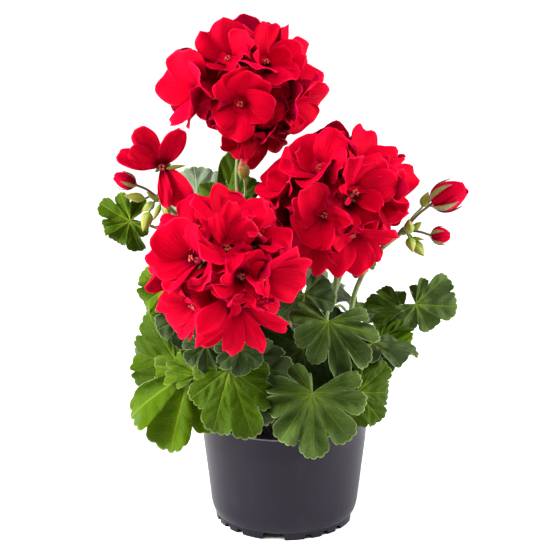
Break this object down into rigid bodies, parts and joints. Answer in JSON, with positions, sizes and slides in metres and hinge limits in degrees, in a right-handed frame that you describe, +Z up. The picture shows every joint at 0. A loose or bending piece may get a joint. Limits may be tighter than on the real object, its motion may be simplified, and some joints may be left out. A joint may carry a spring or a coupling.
{
  "type": "potted geranium plant",
  "caption": "Red-flowered geranium with scalloped leaves, round flower heads and bud sprays, growing in a tapered plastic nursery pot on a ring of feet.",
  "frame": {"origin": "centre of the pot's underside, on the surface that the pot stands on", "axes": "+Z up, the plant's show side faces -Y, +X to the right of someone who looks at that side"},
  "size_m": [0.2617, 0.204, 0.3648],
  "materials": {
    "pot_plastic": "satin dark slate-grey moulded plastic",
    "soil": "moist dark potting soil",
    "leaf_green": "soft hairy leaf with light veins",
    "petal_red": "velvety petal with fine veins",
    "bud_green": "hairy yellow-green bud"
  },
  "bodies": {
    "root": {"pot": "pot_plastic", "soil": "soil", "leafy_stem_left": "leaf_green", "leafy_stem_front": "leaf_green", "leafy_stem_right": "leaf_green", "leafy_stem_back": "leaf_green", "petals_top_head": "petal_red", "petals_right_head": "petal_red", "petals_left_head": "petal_red", "opening_bud_left": "petal_red", "opening_bud_right_large": "petal_red", "opening_bud_right_small": "petal_red", "young_flower_left": "petal_red", "bud_spray_left": "bud_green", "bud_spray_right": "bud_green"}
  },
  "joints": []
}
